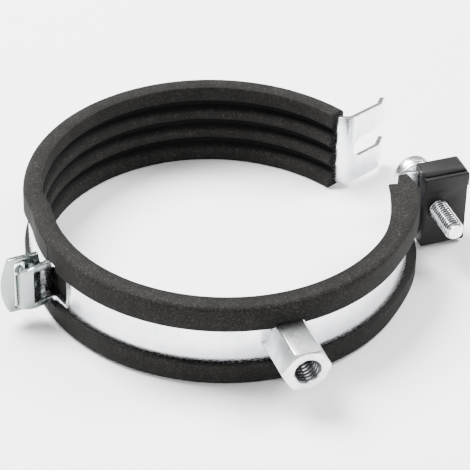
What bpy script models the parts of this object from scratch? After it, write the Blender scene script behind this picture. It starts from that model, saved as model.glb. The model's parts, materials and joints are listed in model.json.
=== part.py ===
"""A rubber-lined pipe clamp, opened a little way.

Two half bands of zinc-plated strip hook together at the left.  A screw draws their ears together
at the right, and a welded threaded nut at the front fastens the clamp to a rod.

Everything is laid out round the pipe's axis, which stands up along +Z.  The upper band and its
lining hang on an empty at the hinge, which is turned by OPEN_ANGLE.
"""

import math

import bmesh
import bpy
from mathutils import Matrix, Vector

MM = 0.001

# Frame: the pipe's axis, seen from the middle of the part's footprint.
PIPE_X = -2.0 * MM
PIPE_Y = 4.4 * MM

# Steel strip
STRIP_HALF = 12.0 * MM
STRIP_THICK = 1.5 * MM
STRIP_RADIUS = 53.85 * MM
STRIP_IN = STRIP_RADIUS - STRIP_THICK / 2
STRIP_OUT = STRIP_RADIUS + STRIP_THICK / 2
RING_STEP = 3.0
GAP = 0.3 * MM
PAST = 2.0 * MM  # how far a cutter runs past what it cuts

# Rubber lining
LIP_RADIUS = 56.0 * MM
LIP_EDGE_HIGH = 5.4 * MM
LIP_EDGE_LOW = 6.4 * MM
LIP_NICK = 0.3 * MM
LINING_HALF = 13.6 * MM
LINING_ROUND = 1.2 * MM
RIB_RADIUS = 50.3 * MM
GROOVE_RADIUS = 51.7 * MM
RIB_COUNT = 4
RIB_PITCH = 6.9 * MM
RIB_CREST = 1.1 * MM
RIB_FOOT = 2.1 * MM
LINING_STEP = 4.0
LINING_FAR_START = -188.0

# Hinge, as it stands when both halves are round the same axis
HINGE_X = -60.9 * MM
HINGE_Y = -6.6 * MM
OPEN_ANGLE = 5.0
BEND_RADIUS = 3.0 * MM
HOOK_RADIUS = 3.4 * MM
HOOK_HALF = 7.2 * MM
HOOK_TIP_LOW = -8.0 * MM
HOOK_TIP_HIGH = 3.6 * MM
HOOK_START = -74.0
HOOK_SWEEP = 175.0
FOLD_RADIUS = 2.0 * MM
FRAME_START = -162.6
FRAME_FULL = -164.4
FRAME_WINDOW_HALF = 5.2 * MM
FRAME_WINDOW_LOW = (-60.4 * MM, -15.2 * MM)
FRAME_WINDOW_HIGH = (-50.0 * MM, -5.5 * MM)
NECK_HALF = 5.1 * MM
NECK_START = 178.0
EYE_HALF = 9.3 * MM
EYE_START_X = -57.4 * MM
EYE_END_X = -67.2 * MM
EYE_END_BEND = 3.5 * MM
EYE_END_TURN = 35.0
EYE_END_BOW = 17.0 * MM
EYE_END_SHARE = 0.98  # of the bow's depth, where the plate stops
WINDOW_LOW = HOOK_TIP_LOW - GAP
WINDOW_HIGH = HOOK_HALF + GAP
WINDOW_IN_X = HINGE_X - 1.5 * MM
WINDOW_OUT_X = HINGE_X - HOOK_RADIUS - STRIP_THICK / 2 - 0.5 * MM
SEAM_RADIUS = 12.0 * MM
LOWER_SEAM_ARC = (5.0, 125.0)
UPPER_SEAM_ARC = (-40.0, 130.0)
ZONE_RADIUS = 52.2 * MM
ZONE_START = -172.2
ZONE_END = -195.0
NOTCH_START = -167.6
LIP_TAB_START = 160.0
LIP_TAB_END = 187.4

# Closure
FAR_EAR_ANGLE = 17.0
FAR_EAR_BEND = 3.5 * MM
FAR_EAR_END = 67.2 * MM
FAR_LINING_END = 20.5
LIP_BEND = 2.5 * MM
LIP_TURN = 32.0
LIP_LENGTH = 4.6 * MM
LIP_CORNER = 2.2 * MM
SLOT_HALF = 3.4 * MM
SLOT_END = 57.1 * MM
NEAR_EAR_Y = -5.75 * MM
NEAR_EAR_HALF = 11.2 * MM
NEAR_EAR_END_X = 72.3 * MM
NEAR_LINING_END = -9.5
NEAR_LINING_STEP = -14.3
STEP_RADIUS = 52.5 * MM
FLARE_START = -46.0
FLARE_FULL = -19.0
FLARE_IN = 1.4 * MM
FLARE_OUT = 1.7 * MM
FLARE_END = 0.3 * MM

# Closing screw, M6 by 30, along Y
SCREW_X = 64.8 * MM
SCREW_HOLE = 3.4 * MM
SHANK_RADIUS = 2.95 * MM
SHANK_LENGTH = 30.0 * MM
SHANK_CHAMFER = 0.8 * MM
HEAD_Y = 6.4 * MM
HEAD_RADIUS = 5.9 * MM
HEAD_HEIGHT = 3.8 * MM
HEAD_ROUND = 1.2 * MM
HEAD_EDGE = 0.3 * MM
RECESS_DEPTH = 2.2 * MM
RECESS_ARMS = ((0.8 * MM, 3.2 * MM), (4.9 * MM, 0.65 * MM))
WASHER_RADIUS = 6.3 * MM
WASHER_THICK = 1.2 * MM
WASHER_HOLE = 3.25 * MM

# Square nut between the cap and the near ear
SQUARE_HALF = 5.0 * MM
SQUARE_THICK = 3.0 * MM
THREAD_HOLE = 3.25 * MM

# Moulded cap over the near ear
CAP_LEFT_X = 59.7 * MM
CAP_RIGHT_X = 73.7 * MM
CAP_TOP = 13.6 * MM
CAP_BOTTOM = -12.6 * MM
CAP_FRONT_Y = -11.3 * MM
CAP_BACK_Y = -3.7 * MM
CAP_BAND_Y = -12.0 * MM
CAP_BAND_LOW = 7.4 * MM
CAP_BAND_HIGH = 12.3 * MM
CAP_BAND_NICK = 0.3 * MM
CAP_WALL = 1.1 * MM
CAP_FRONT_ROUND = 2.2 * MM
CAP_BACK_ROUND = 1.2 * MM
CAP_END_ROUND = 1.8 * MM
CAP_RETURN = 2.4 * MM
CAP_HOLE = 3.6 * MM

# Connection nut, M8, along -Y
NUT_FACE_Y = -70.0 * MM
NUT_HALF_FLATS = 6.5 * MM
NUT_FACE_RADIUS = 6.2 * MM
NUT_BORE = 3.35 * MM
NUT_BORE_END_Y = -56.5 * MM
NUT_MOUTH = 4.1 * MM


def clear_scene():
    for obj in list(bpy.data.objects):
        bpy.data.objects.remove(obj, do_unlink=True)


def make_collection(name):
    collection = bpy.data.collections.new(name)
    bpy.context.scene.collection.children.link(collection)
    return collection


def make_material(name, color, roughness, metallic):
    material = bpy.data.materials.new(name)
    material.use_nodes = True
    shader = material.node_tree.nodes["Principled BSDF"]
    shader.inputs["Base Color"].default_value = (*color, 1.0)
    shader.inputs["Roughness"].default_value = roughness
    shader.inputs["Metallic"].default_value = metallic
    return material


clear_scene()
PARTS = make_collection("pipe_clamp")
CUTTERS = make_collection("cutters")


# ---------------------------------------------------------------- plan geometry


def arc(center, radius, start, end, step):
    """Points of an arc in plan, both ends included; angles in degrees."""
    count = max(2, math.ceil(abs(end - start) / step))
    turn = [math.radians(start + (end - start) * i / count) for i in range(count + 1)]
    return [(center[0] + radius * math.cos(a), center[1] + radius * math.sin(a)) for a in turn]


def ahead(point, heading, distance):
    turn = math.radians(heading)
    return point[0] + distance * math.cos(turn), point[1] + distance * math.sin(turn)


def turn_out(through, heading, bend, side):
    """The bend by which the ring leaves for a plate that runs out through a point.

    heading is the plate's direction away from the ring; side is 1 when the bend's centre lies to
    the left of it, -1 to the right.  Gives the ring's angle there and the bend's points, from the
    ring to the plate.
    """
    base = ahead(through, heading + 90.0 * side, bend)
    turn = math.radians(heading)
    along = base[0] * math.cos(turn) + base[1] * math.sin(turn)
    across = base[1] * math.cos(turn) - base[0] * math.sin(turn)
    reach = math.sqrt((STRIP_RADIUS + bend) ** 2 - across**2)
    center = ahead(base, heading, reach - along)
    ring_angle = math.degrees(math.atan2(center[1], center[0]))
    start = ring_angle + 180.0
    sweep_angle = (heading - 90.0 * side - start + 180.0) % 360.0 - 180.0
    return ring_angle, arc(center, bend, start, start + sweep_angle, 12.0)


# ---------------------------------------------------------------- solids


def link(name, mesh, material, collection):
    obj = bpy.data.objects.new(name, mesh)
    collection.objects.link(obj)
    if material:
        mesh.materials.append(material)
    else:
        obj.hide_render = True
        obj.display_type = "WIRE"
    return obj


def finish_mesh(mesh_builder, name):
    bmesh.ops.recalc_face_normals(mesh_builder, faces=mesh_builder.faces)
    mesh = bpy.data.meshes.new(name)
    mesh_builder.to_mesh(mesh)
    mesh_builder.free()
    mesh.shade_smooth()
    mesh.set_sharp_from_angle(angle=math.radians(35))
    return mesh


def level(points, half):
    """Stations of a strip that keeps its width through points in plan."""
    return [(x, y, -half, half) for x, y in points]


def strip(name, stations, material):
    """A strip on edge: stations are (x, y, low edge, high edge) along its middle surface."""
    builder = bmesh.new()
    rows = []
    for x, y, low, high in stations:
        rows.append((builder.verts.new((x, y, low)), builder.verts.new((x, y, high))))
    for (low_a, high_a), (low_b, high_b) in zip(rows, rows[1:]):
        builder.faces.new((low_a, low_b, high_b, high_a))
    obj = link(name, finish_mesh(builder, name), material, PARTS)
    solidify = obj.modifiers.new("thickness", "SOLIDIFY")
    solidify.thickness = STRIP_THICK
    solidify.offset = 0.0
    solidify.use_even_offset = True
    return obj


def sweep(name, outline, start, end, step, material, collection, center=(0, 0), shape=None):
    """Turns a closed (radius, height) outline about a vertical axis, from start to end degrees.

    shape, if given, makes each radius another one, from the outline's point and the angle.
    """
    count = max(2, math.ceil(abs(end - start) / step))
    builder = bmesh.new()
    rings = []
    for i in range(count + 1):
        angle = start + (end - start) * i / count
        ring = []
        for radius, z in outline:
            reach = shape(radius, z, angle) if shape else radius
            ring.append(builder.verts.new((*ahead(center, angle, reach), z)))
        rings.append(ring)
    size = len(outline)
    for ring_a, ring_b in zip(rings, rings[1:]):
        for i in range(size):
            j = (i + 1) % size
            builder.faces.new((ring_a[i], ring_a[j], ring_b[j], ring_b[i]))
    builder.faces.new(rings[0])
    builder.faces.new(rings[-1])
    return link(name, finish_mesh(builder, name), material, collection)


def extrude(name, points, move, material, collection):
    """Extrudes a closed loop of points by the vector move."""
    builder = bmesh.new()
    face = builder.faces.new([builder.verts.new(p) for p in points])
    grown = bmesh.ops.extrude_face_region(builder, geom=[face])
    moved = [item for item in grown["geom"] if isinstance(item, bmesh.types.BMVert)]
    bmesh.ops.translate(builder, vec=move, verts=moved)
    return link(name, finish_mesh(builder, name), material, collection)


def prism(name, outline, low_y, high_y, material, collection):
    """Extrudes a closed (x, z) outline along Y."""
    points = [(x, low_y, z) for x, z in outline]
    return extrude(name, points, (0.0, high_y - low_y, 0.0), material, collection)


def box(name, low, high, material=None, collection=CUTTERS):
    builder = bmesh.new()
    bmesh.ops.create_cube(builder, size=1.0)
    low, high = Vector(low), Vector(high)
    span = high - low
    bmesh.ops.scale(builder, vec=span, verts=builder.verts)
    bmesh.ops.translate(builder, vec=(low + high) / 2, verts=builder.verts)
    return link(name, finish_mesh(builder, name), material, collection)


def turned(name, profile, material, collection, place, sides=32, upright=False):
    """Revolves (radius, height) pairs, top to bottom; height runs along +Y, or +Z if upright."""
    builder = bmesh.new()
    verts = [builder.verts.new((r, 0.0, z)) for r, z in profile]
    for a, b in zip(verts, verts[1:]):
        builder.edges.new((a, b))
    mesh = bpy.data.meshes.new(name)
    builder.to_mesh(mesh)
    builder.free()
    obj = link(name, mesh, material, collection)
    screw = obj.modifiers.new("turn", "SCREW")
    screw.angle = math.tau
    screw.steps = sides
    screw.render_steps = sides
    screw.use_merge_vertices = True
    screw.merge_threshold = 0.00001
    if not upright:
        obj.rotation_euler = (-math.pi / 2, 0.0, 0.0)
    obj.location = place
    return obj


def bore_cutter(name, radius, middle_y, reach):
    """A round cutter on the closing screw's axis, reach to each side of middle_y."""
    profile = [(0.0, reach), (radius, reach), (radius, -reach), (0.0, -reach)]
    return turned(name, profile, None, CUTTERS, (SCREW_X, middle_y, 0.0))


def boolean(obj, cutter, operation="DIFFERENCE"):
    modifier = obj.modifiers.new(f"{operation.lower()}_{cutter.name}", "BOOLEAN")
    modifier.operation = operation
    modifier.solver = "EXACT"
    modifier.object = cutter


def hexagon(half_flats):
    corner = half_flats / math.cos(math.radians(30))
    turn = [math.radians(60 * i) for i in range(6)]
    return [(corner * math.cos(a), corner * math.sin(a)) for a in turn]


# ---------------------------------------------------------------- steel bands


def make_lower_band(steel):
    """From the near ear round to the hinge, where it narrows to a frame and hooks over."""
    pivot = (HINGE_X, HINGE_Y)
    hook = arc(pivot, HOOK_RADIUS, HOOK_START, HOOK_START - HOOK_SWEEP, 12.0)
    close_angle, close_bend = turn_out((0, NEAR_EAR_Y), 0.0, BEND_RADIUS, -1)
    fold_angle, fold = turn_out(hook[0], HOOK_START - 90.0, FOLD_RADIUS, 1)
    ear = [(NEAR_EAR_END_X, NEAR_EAR_Y), (CAP_LEFT_X, NEAR_EAR_Y)]
    stations = level(ear, NEAR_EAR_HALF)
    stations += level(reversed(close_bend), STRIP_HALF)
    ring = arc((0, 0), STRIP_RADIUS, close_angle, FRAME_START, RING_STEP)
    stations += level(ring[1:], STRIP_HALF)
    arms = arc((0, 0), STRIP_RADIUS, FRAME_FULL, fold_angle, RING_STEP)
    stations += level(arms[:-1] + fold, HOOK_HALF)
    for step, (x, y) in enumerate(hook):
        share = min(1.0, 2.0 * step / (len(hook) - 1)) ** 2
        low = -HOOK_HALF + (HOOK_TIP_LOW + HOOK_HALF) * share
        high = HOOK_HALF + (HOOK_TIP_HIGH - HOOK_HALF) * share
        stations.append((x, y, low, high))
    band = strip("lower_band", stations, steel)
    window = box(
        "cut_frame_window",
        (*FRAME_WINDOW_LOW, -FRAME_WINDOW_HALF),
        (*FRAME_WINDOW_HIGH, FRAME_WINDOW_HALF),
    )
    boolean(band, window)
    boolean(band, bore_cutter("cut_near_ear", SCREW_HOLE, NEAR_EAR_Y, 2 * STRIP_THICK))
    return band


def make_upper_band(steel):
    """From the slotted ear round to the hinge, where a plate with a window takes the hook."""
    ear_end = ahead((0, 0), FAR_EAR_ANGLE, FAR_EAR_END)
    lip_center = ahead(ear_end, FAR_EAR_ANGLE + 90.0, LIP_BEND)
    lip = arc(lip_center, LIP_BEND, FAR_EAR_ANGLE - 90.0, FAR_EAR_ANGLE - 90.0 + LIP_TURN, 11.0)
    lip_end = FAR_EAR_ANGLE + LIP_TURN
    stations = []
    for share in (1.0, 0.6, 0.3, 0.0):
        point = ahead(lip[-1], lip_end, LIP_LENGTH - LIP_CORNER * (1 - share))
        stations += level([point], STRIP_HALF - LIP_CORNER * (1 - math.sqrt(1 - share**2)))
    stations += level(reversed(lip), STRIP_HALF)
    close_angle, close_bend = turn_out((0, 0), FAR_EAR_ANGLE, FAR_EAR_BEND, 1)
    stations += level(reversed(close_bend), STRIP_HALF)
    ring = arc((0, 0), STRIP_RADIUS, close_angle, NECK_START - 2.0, RING_STEP)
    stations += level(ring[1:], STRIP_HALF)
    hinge_angle, hinge_bend = turn_out((0, HINGE_Y), 180.0, BEND_RADIUS, -1)
    neck = arc((0, 0), STRIP_RADIUS, NECK_START, 360.0 + hinge_angle, RING_STEP)
    stations += level([*neck[:-1], *hinge_bend, (EYE_START_X, HINGE_Y)], NECK_HALF)
    stations += level([(EYE_START_X - STRIP_THICK / 2, HINGE_Y)], EYE_HALF)
    end = arc(
        (EYE_END_X, HINGE_Y + EYE_END_BEND), EYE_END_BEND, -90.0, -90.0 - EYE_END_TURN, 7.5
    )
    bow = EYE_END_BOW - math.sqrt(EYE_END_BOW**2 - EYE_HALF**2)
    for step, point in enumerate(end):
        left = EYE_END_SHARE * step / (len(end) - 1)
        half = math.sqrt(EYE_END_BOW**2 - (EYE_END_BOW - bow * (1 - left)) ** 2)
        stations += level([point], half)
    band = strip("upper_band", stations, steel)
    reach = 4 * STRIP_THICK
    slot = prism("cut_slot", slot_outline(), -reach, reach, None, CUTTERS)
    slot.rotation_euler = (0.0, 0.0, math.radians(FAR_EAR_ANGLE))
    window = box(
        "cut_window",
        (WINDOW_OUT_X, HINGE_Y - STRIP_THICK, WINDOW_LOW),
        (WINDOW_IN_X, HINGE_Y + STRIP_THICK, WINDOW_HIGH),
    )
    boolean(band, slot)
    boolean(band, window)
    return band, [slot, window]


def slot_outline():
    """The screw slot: a round inner end, open at the ear's outer end."""
    inner = arc((SLOT_END + SLOT_HALF, 0.0), SLOT_HALF, 90.0, 270.0, 18.0)
    outer = FAR_EAR_END + 2 * LIP_LENGTH
    return [*inner, (outer, -SLOT_HALF), (outer, SLOT_HALF)]


# ---------------------------------------------------------------- rubber linings


def lining_outline():
    """The lining's section: a channel that wraps both edges of the strip, ribbed inside."""
    base_out = STRIP_IN - GAP
    lip_in = STRIP_OUT + GAP
    wall_in = STRIP_HALF + GAP
    corner = (LIP_RADIUS - LINING_ROUND, LINING_HALF - LINING_ROUND)
    sides = []
    for edge in (LIP_EDGE_HIGH, LIP_EDGE_LOW):
        side = [(base_out, wall_in), (lip_in, wall_in), (lip_in, edge)]
        side += [(LIP_RADIUS - LIP_NICK, edge), (LIP_RADIUS, edge + LIP_NICK)]
        sides.append(side + arc(corner, LINING_ROUND, 0.0, 90.0, 30.0))
    bottom = [(r, -z) for r, z in reversed(sides[1])]
    return [*sides[0], *reversed(rib_points()), *bottom]


def ease(value):
    share = min(1.0, max(0.0, value))
    return share * share * (3 - 2 * share)


def flare(radius, z, angle):
    """Spreads the lining towards its end at the near ear: its top rim inward, its lips outward."""
    spread = ease((angle - FLARE_START) / (FLARE_FULL - FLARE_START))
    if radius <= GROOVE_RADIUS:
        return radius - FLARE_IN * spread * ease(z / LINING_HALF * 2 - 1)
    if radius < STRIP_OUT + GAP + LIP_NICK:
        return radius
    last = ease((angle - NEAR_LINING_STEP) / (NEAR_LINING_END - NEAR_LINING_STEP))
    return radius + FLARE_OUT * spread + (FLARE_END - FLARE_OUT) * last


def rib_points():
    """The inner face, from bottom to top: round ribs between flat-bottomed grooves."""
    points = [(RIB_RADIUS, -LINING_HALF)]
    for i in range(RIB_COUNT):
        middle = (i - (RIB_COUNT - 1) / 2) * RIB_PITCH
        if i > 0:
            points.append((GROOVE_RADIUS, middle - RIB_FOOT))
            points.append((RIB_RADIUS, middle - RIB_CREST))
        if i < RIB_COUNT - 1:
            points.append((RIB_RADIUS, middle + RIB_CREST))
            points.append((GROOVE_RADIUS, middle + RIB_FOOT))
    points.append((RIB_RADIUS, LINING_HALF))
    return points


def slab(low_radius, high_radius, low, high):
    return [(low_radius, low), (high_radius, low), (high_radius, high), (low_radius, high)]


def make_lower_lining(rubber):
    lining = sweep(
        "lower_lining",
        lining_outline(),
        NEAR_LINING_END,
        LINING_FAR_START,
        LINING_STEP,
        rubber,
        PARTS,
        shape=flare,
    )
    tall = LINING_HALF + PAST
    outside = LIP_RADIUS + PAST
    channel = STRIP_HALF + GAP
    notch = HOOK_HALF + GAP
    zone = slab(ZONE_RADIUS, outside, -channel, channel)
    lips = slab(STRIP_OUT, outside, -notch, notch)
    seam = slab(SEAM_RADIUS, 2 * SEAM_RADIUS, -tall, tall)
    end = slab(RIB_RADIUS - 2 * PAST, STEP_RADIUS, -tall, tall)
    hinge = (HINGE_X, HINGE_Y)
    seat = hexagon(NUT_HALF_FLATS + GAP)
    cutters = [
        sweep("cut_hinge_zone", zone, ZONE_START, ZONE_END, RING_STEP, None, CUTTERS),
        sweep("cut_hook_notch", lips, NOTCH_START, ZONE_START - 1.0, RING_STEP, None, CUTTERS),
        sweep("cut_lower_seam", seam, *LOWER_SEAM_ARC, 2 * RING_STEP, None, CUTTERS, hinge),
        sweep("cut_stepped_end", end, NEAR_LINING_STEP, 0.0, RING_STEP, None, CUTTERS),
        prism("cut_nut_seat", seat, NUT_FACE_Y, -STRIP_OUT, None, CUTTERS),
    ]
    for cutter in cutters:
        boolean(lining, cutter)
    return lining


def make_upper_lining(rubber):
    """Its seam is round the hinge; only the lips run on past it, over the neck of the band."""
    outline = lining_outline()
    start, end = FAR_LINING_END, LIP_TAB_END
    lining = sweep("upper_lining", outline, start, end, LINING_STEP, rubber, PARTS)
    tall = LINING_HALF + PAST
    hinge = (HINGE_X, HINGE_Y)
    sector = slab(0.001 * MM, SEAM_RADIUS + GAP, -tall, tall)
    seam = sweep("cut_upper_seam", sector, *UPPER_SEAM_ARC, 2 * RING_STEP, None, CUTTERS, hinge)
    kept = [seam]
    ranges = {
        "keep_low_lip": (-STRIP_HALF, GAP - LIP_EDGE_LOW),
        "keep_high_lip": (LIP_EDGE_HIGH - GAP, STRIP_HALF),
    }
    for name, (low, high) in ranges.items():
        ring = slab(STRIP_OUT, LIP_RADIUS + PAST, low, high)
        lip = sweep(name, ring, LIP_TAB_START, -ZONE_END, 2 * RING_STEP, None, CUTTERS)
        boolean(seam, lip)
        kept.append(lip)
    boolean(lining, seam)
    return lining, kept


# ---------------------------------------------------------------- nuts, screw and cap


def make_connection_nut(steel):
    nut = prism(
        "connection_nut", hexagon(NUT_HALF_FLATS), NUT_FACE_Y, -STRIP_RADIUS, steel, PARTS
    )
    corner = NUT_HALF_FLATS / math.cos(math.radians(30)) + PAST
    slope = (corner - NUT_FACE_RADIUS) * math.tan(math.radians(30))
    length = 2 * (-NUT_FACE_Y - STRIP_RADIUS)
    chamfer = turned(
        "cut_nut_chamfer",
        [(0.0, length), (corner, length), (corner, slope), (NUT_FACE_RADIUS, 0.0), (0.0, 0.0)],
        None,
        CUTTERS,
        (0.0, NUT_FACE_Y, 0.0),
        48,
    )
    seat = turned(
        "cut_nut_base",
        [
            (0.0, LINING_HALF),
            (STRIP_OUT + GAP, LINING_HALF),
            (STRIP_OUT + GAP, -LINING_HALF),
            (0.0, -LINING_HALF),
        ],
        None,
        CUTTERS,
        (0.0, 0.0, 0.0),
        120,
        upright=True,
    )
    depth = NUT_BORE_END_Y - NUT_FACE_Y
    mouth = NUT_MOUTH - NUT_BORE
    bore = turned(
        "cut_nut_bore",
        [
            (0.0, depth),
            (NUT_BORE, depth),
            (NUT_BORE, mouth),
            (NUT_MOUTH, 0.0),
            (NUT_MOUTH, -PAST),
            (0.0, -PAST),
        ],
        None,
        CUTTERS,
        (0.0, NUT_FACE_Y, 0.0),
    )
    boolean(nut, chamfer, "INTERSECT")
    boolean(nut, seat)
    boolean(nut, bore)
    return nut


def make_closing_screw(steel):
    crown = (HEAD_RADIUS - HEAD_ROUND, HEAD_HEIGHT - HEAD_ROUND)
    profile = [
        (0.0, HEAD_HEIGHT),
        *arc(crown, HEAD_ROUND, 90.0, 0.0, 30.0),
        (HEAD_RADIUS, HEAD_EDGE),
        (HEAD_RADIUS - HEAD_EDGE, 0.0),
        (SHANK_RADIUS, 0.0),
        (SHANK_RADIUS, -SHANK_LENGTH + SHANK_CHAMFER),
        (SHANK_RADIUS - SHANK_CHAMFER, -SHANK_LENGTH),
        (0.0, -SHANK_LENGTH),
    ]
    screw = turned("closing_screw", profile, steel, PARTS, (SCREW_X, HEAD_Y, 0.0))
    top = HEAD_Y + HEAD_HEIGHT
    for index, (wide, high) in enumerate(RECESS_ARMS):
        slot = box(
            f"cut_recess_{index}",
            (SCREW_X - wide, top - RECESS_DEPTH, -high),
            (SCREW_X + wide, top + RECESS_DEPTH, high),
        )
        boolean(screw, slot)
    return screw


def make_screw_washer(steel):
    back = HEAD_Y - GAP
    profile = [
        (WASHER_HOLE, 0.0),
        (WASHER_RADIUS, 0.0),
        (WASHER_RADIUS, -WASHER_THICK),
        (WASHER_HOLE, -WASHER_THICK),
        (WASHER_HOLE, 0.0),
    ]
    return turned("screw_washer", profile, steel, PARTS, (SCREW_X, back, 0.0))


def make_ear_nut(steel):
    back = NEAR_EAR_Y - STRIP_THICK / 2 - GAP
    low, high = SCREW_X - SQUARE_HALF, SCREW_X + SQUARE_HALF
    nut = box(
        "ear_nut", (low, back - SQUARE_THICK, -SQUARE_HALF), (high, back, SQUARE_HALF), steel, PARTS
    )
    boolean(nut, bore_cutter("cut_ear_nut", THREAD_HOLE, back, 2 * SQUARE_THICK))
    return nut


def make_ear_cap(plastic):
    """A moulded cover that slides over the near ear from its outer end and keeps the nut in."""
    front = CAP_FRONT_Y + CAP_FRONT_ROUND
    high = CAP_TOP - CAP_FRONT_ROUND
    ledge = math.degrees(math.asin((CAP_BAND_HIGH - high) / CAP_FRONT_ROUND))
    back_center = (CAP_BACK_Y - CAP_BACK_ROUND, CAP_TOP - CAP_BACK_ROUND)
    profile = [
        (CAP_BACK_Y, CAP_BOTTOM),
        *arc(back_center, CAP_BACK_ROUND, 0.0, 90.0, 30.0),
        *arc((front, high), CAP_FRONT_ROUND, 90.0, 180.0 - ledge, 15.0),
        (CAP_BAND_Y + CAP_BAND_NICK, CAP_BAND_HIGH),
        (CAP_BAND_Y, CAP_BAND_HIGH - CAP_BAND_NICK),
        (CAP_BAND_Y, CAP_BAND_LOW),
        (CAP_FRONT_Y, CAP_BAND_LOW - CAP_BAND_NICK),
        (CAP_FRONT_Y, CAP_BOTTOM),
    ]
    points = [(CAP_LEFT_X, y, z) for y, z in profile]
    length = CAP_RIGHT_X - CAP_LEFT_X
    cap = extrude("ear_cap", points, (length, 0.0, 0.0), plastic, PARTS)
    corner = (CAP_RIGHT_X - CAP_END_ROUND, CAP_TOP - CAP_END_ROUND)
    outline = [
        (corner[0], CAP_TOP + PAST),
        *reversed(arc(corner, CAP_END_ROUND, 0.0, 90.0, 22.5)),
        (CAP_RIGHT_X + PAST, corner[1]),
        (CAP_RIGHT_X + PAST, CAP_TOP + PAST),
    ]
    rounding = prism("cut_cap_corner", outline, 2 * CAP_FRONT_Y, 0.0, None, CUTTERS)
    inside = NEAR_EAR_HALF + GAP
    cavity = box(
        "cut_cap_cavity",
        (CAP_LEFT_X - PAST, CAP_FRONT_Y + CAP_WALL, -inside),
        (NEAR_EAR_END_X + GAP, CAP_BACK_Y - CAP_WALL, inside),
    )
    window = box(
        "cut_cap_window",
        (CAP_LEFT_X - PAST, CAP_BACK_Y - 2 * CAP_WALL, -inside + CAP_RETURN),
        (NEAR_EAR_END_X - CAP_RETURN, CAP_BACK_Y + PAST, inside - CAP_RETURN),
    )
    hole = bore_cutter("cut_cap_hole", CAP_HOLE, CAP_FRONT_Y, 2 * CAP_WALL)
    for cutter in (rounding, cavity, window, hole):
        boolean(cap, cutter)
    return cap


# ---------------------------------------------------------------- assembly


def hang(objects, parent, offset):
    """Parents objects that are laid out round the pipe's axis, keeping them there at rest."""
    for obj in objects:
        obj.parent = parent
        obj.location = Vector(obj.location) - Vector(offset)


def make_empty(name, place, parent=None):
    empty = bpy.data.objects.new(name, None)
    PARTS.objects.link(empty)
    empty.parent = parent
    empty.location = place
    return empty


def main():
    zinc = make_material("zinc_plated_steel", (0.72, 0.74, 0.77), 0.32, 1.0)
    rubber = make_material("black_rubber", (0.045, 0.043, 0.040), 0.75, 0.0)
    plastic = make_material("black_plastic", (0.018, 0.018, 0.018), 0.45, 0.0)

    upper_band, band_cutters = make_upper_band(zinc)
    upper_lining, lining_cutters = make_upper_lining(rubber)
    upper = [upper_band, upper_lining, *band_cutters, *lining_cutters]
    make_lower_band(zinc)
    make_lower_lining(rubber)
    make_connection_nut(zinc)
    make_closing_screw(zinc)
    make_screw_washer(zinc)
    make_ear_nut(zinc)
    make_ear_cap(plastic)
    lower = [obj for obj in [*PARTS.objects, *CUTTERS.objects] if obj not in upper]

    pipe_axis = make_empty("pipe_axis", (PIPE_X, PIPE_Y, LINING_HALF))
    hinge = make_empty("hinge_axis", (HINGE_X, HINGE_Y, 0.0), pipe_axis)
    hang(lower, pipe_axis, (0.0, 0.0, 0.0))
    hang(upper, hinge, (HINGE_X, HINGE_Y, 0.0))
    hinge.rotation_euler = (0.0, 0.0, math.radians(OPEN_ANGLE))


main()
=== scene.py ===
"""The look of the pipe clamp: every piece is rebuilt finely where its CAD node stands."""

import json
import math

import bmesh
import bpy
from mathutils import Matrix, Vector


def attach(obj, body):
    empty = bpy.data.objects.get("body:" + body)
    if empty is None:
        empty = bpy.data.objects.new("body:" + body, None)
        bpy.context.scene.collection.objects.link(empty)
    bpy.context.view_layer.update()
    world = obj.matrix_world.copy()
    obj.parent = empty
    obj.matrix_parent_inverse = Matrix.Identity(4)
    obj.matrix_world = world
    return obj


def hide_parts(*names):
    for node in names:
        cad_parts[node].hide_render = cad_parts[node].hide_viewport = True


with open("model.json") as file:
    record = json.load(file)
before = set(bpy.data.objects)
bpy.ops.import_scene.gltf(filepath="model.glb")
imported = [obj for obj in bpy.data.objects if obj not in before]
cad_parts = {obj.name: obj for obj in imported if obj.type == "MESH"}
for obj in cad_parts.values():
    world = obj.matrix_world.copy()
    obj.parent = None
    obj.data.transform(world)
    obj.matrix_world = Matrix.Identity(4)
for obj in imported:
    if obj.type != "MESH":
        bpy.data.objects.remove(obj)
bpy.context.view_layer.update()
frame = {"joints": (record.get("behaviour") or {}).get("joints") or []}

MM = 0.001

# Frame: the pipe's axis comes from the hinge, whose place the record states
HINGE_X = -60.9 * MM
HINGE_Y = -6.6 * MM
OPEN_ANGLE = 5.0
HINGE_JOINT = next(j for j in frame["joints"] if j["name"] == "band_hinge")
PIPE_X = HINGE_JOINT["pos_m"][0] - HINGE_X
PIPE_Y = HINGE_JOINT["pos_m"][1] - HINGE_Y
PIPE_Z = HINGE_JOINT["pos_m"][2]

# Steel strip
STRIP_HALF = 12.0 * MM
STRIP_THICK = 1.5 * MM
STRIP_RADIUS = 53.85 * MM
STRIP_IN = STRIP_RADIUS - STRIP_THICK / 2
STRIP_OUT = STRIP_RADIUS + STRIP_THICK / 2
STRIP_EDGE = 0.22 * MM
RING_STEP = 1.5
BEND_STEP = 6.0
GAP = 0.3 * MM
PAST = 2.0 * MM  # how far a cutter runs past what it cuts
SLIVER = 0.02 * MM  # keeps two cutters' faces from lying on each other
CURVE_SHARE = 0.3  # how far in the middle of a rounded edge lies

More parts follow.
